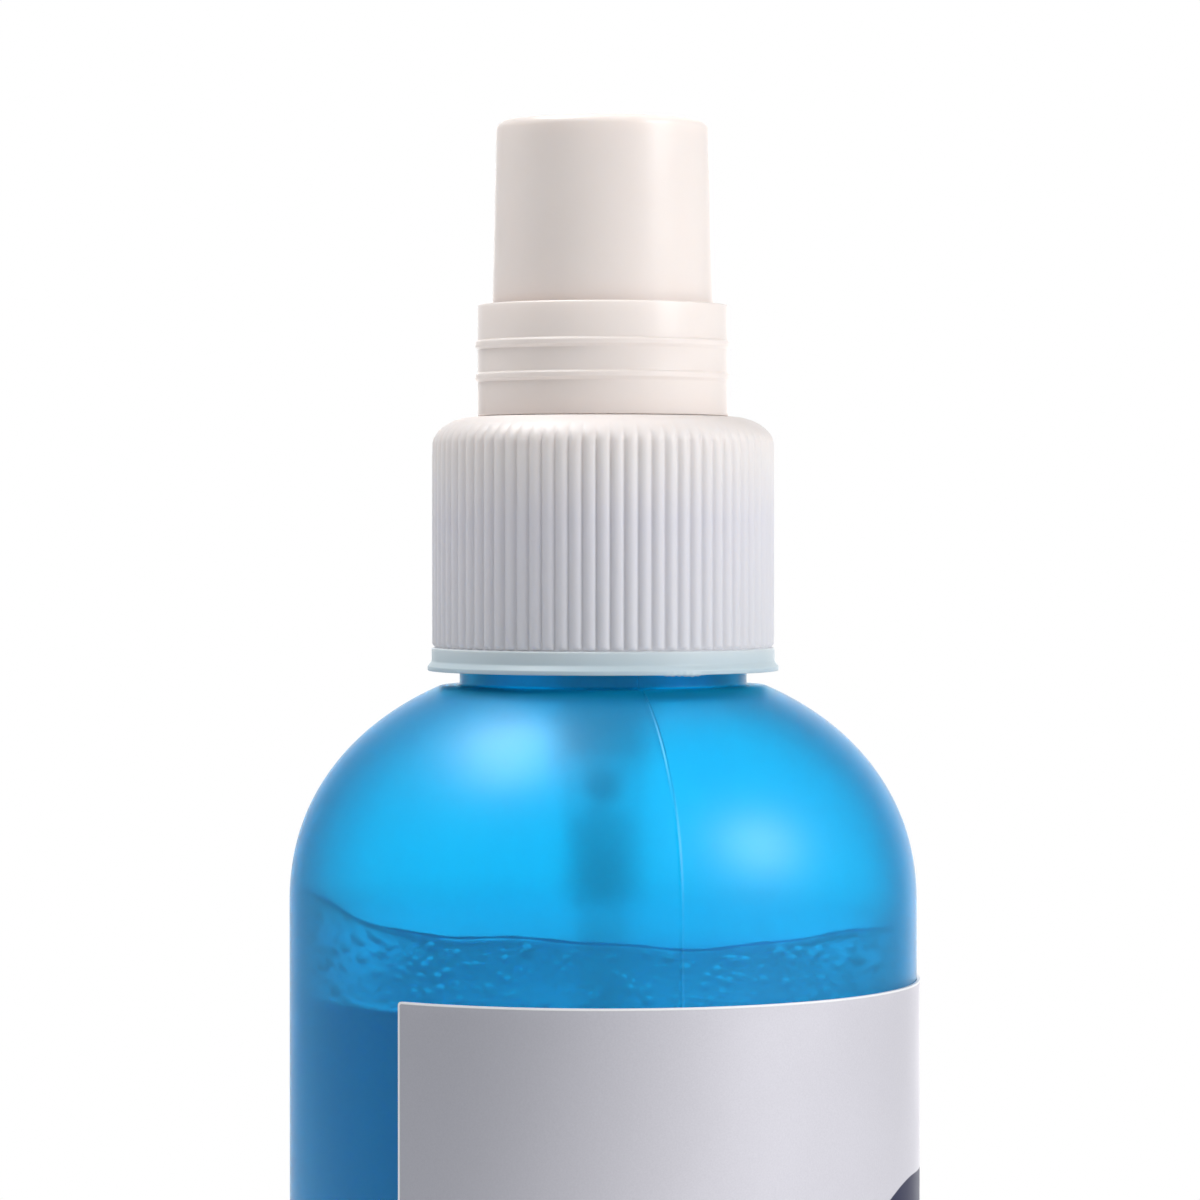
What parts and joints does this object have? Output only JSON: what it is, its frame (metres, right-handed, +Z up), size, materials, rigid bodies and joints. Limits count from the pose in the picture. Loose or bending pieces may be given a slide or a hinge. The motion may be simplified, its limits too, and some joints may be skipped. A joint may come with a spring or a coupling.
{
  "type": "spray bottle",
  "caption": "Round translucent bottle of cleaning liquid with a ribbed screw closure and a press-down finger mist pump on a dip tube.",
  "frame": {"origin": "on the bottle's axis, in the plane of its standing ring", "axes": "+Z up the bottle's axis, +Y the way the nozzle sprays, -Y the side with the label's left edge"},
  "size_m": [0.0503, 0.0506, 0.1662],
  "materials": {
    "blue_translucent": "satin",
    "label_silver": "satin",
    "blue_liquid": "gloss",
    "white_plastic": "satin",
    "natural_plastic": "satin",
    "gasket_foam": "matte",
    "stainless_steel": "polished"
  },
  "bodies": {
    "bottle_body": {"bottle": "blue_translucent", "label": "label_silver", "liquid_fill": "blue_liquid"},
    "pump_body": {"pump_housing": "natural_plastic", "collar": "white_plastic", "neck_gasket": "gasket_foam", "stem_gasket": "gasket_foam", "dip_tube": "natural_plastic", "return_spring": "stainless_steel"},
    "closure_body": {"closure": "white_plastic"},
    "plunger_body": {"stem": "natural_plastic", "valve_rod": "natural_plastic"},
    "head_body": {"head": "white_plastic", "nozzle_insert": "white_plastic"},
    "piston_body": {"piston": "natural_plastic"},
    "ball_body": {"check_ball": "stainless_steel"}
  },
  "joints": [
    {"name": "thread_lift", "type": "slide", "parent": "bottle_body", "child": "pump_body", "axis": [0, 0, 1], "range_m": [0, 0.00476]},
    {"name": "closure_turn", "type": "hinge", "parent": "pump_body", "child": "closure_body", "pos_m": [0, 0, 0.1224], "axis": [0, 0, 1], "range_deg": [0, 540]},
    {"name": "pump_stroke", "type": "slide", "parent": "pump_body", "child": "plunger_body", "axis": [0, 0, 1], "range_m": [-0.005, 0], "stiffness_N_per_m": 900, "springref_m": 0.012, "deforming": ["return_spring"]},
    {"name": "head_turn", "type": "hinge", "parent": "plunger_body", "child": "head_body", "pos_m": [0, 0, 0.1492], "axis": [0, 0, 1], "continuous": true},
    {"name": "piston_slip", "type": "slide", "parent": "plunger_body", "child": "piston_body", "axis": [0, 0, 1], "range_m": [0, 0.001]},
    {"name": "ball_lift", "type": "slide", "parent": "pump_body", "child": "ball_body", "axis": [0, 0, 1], "range_m": [0, 0.001]}
  ],
  "couplings": [
    {"joint": "thread_lift", "follows": "closure_turn", "m_per_rad": 0.00050531}
  ]
}
